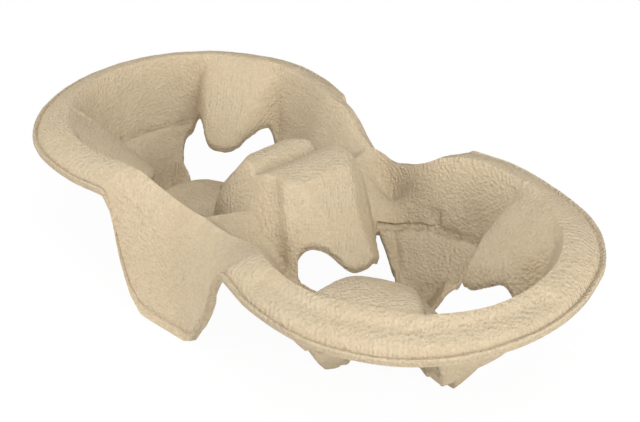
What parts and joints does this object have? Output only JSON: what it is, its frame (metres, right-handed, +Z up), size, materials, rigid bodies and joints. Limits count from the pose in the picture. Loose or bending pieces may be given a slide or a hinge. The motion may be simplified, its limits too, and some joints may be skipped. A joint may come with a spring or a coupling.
{
  "type": "two-cup carrier",
  "caption": "Moulded pulp tray that carries cups side by side, with a conical well for each, sprung gripping tabs, a raised middle block and skirts it stands on.",
  "frame": {"origin": "on the ground, midway between the two cup wells", "axes": "+X along the two wells towards the one with the arched tab, +Y from front to back, +Z up"},
  "size_m": [0.216, 0.1144, 0.0505],
  "materials": {
    "pulp": "rough moulded fibre"
  },
  "bodies": {
    "root": {"carrier": "pulp"}
  },
  "joints": []
}
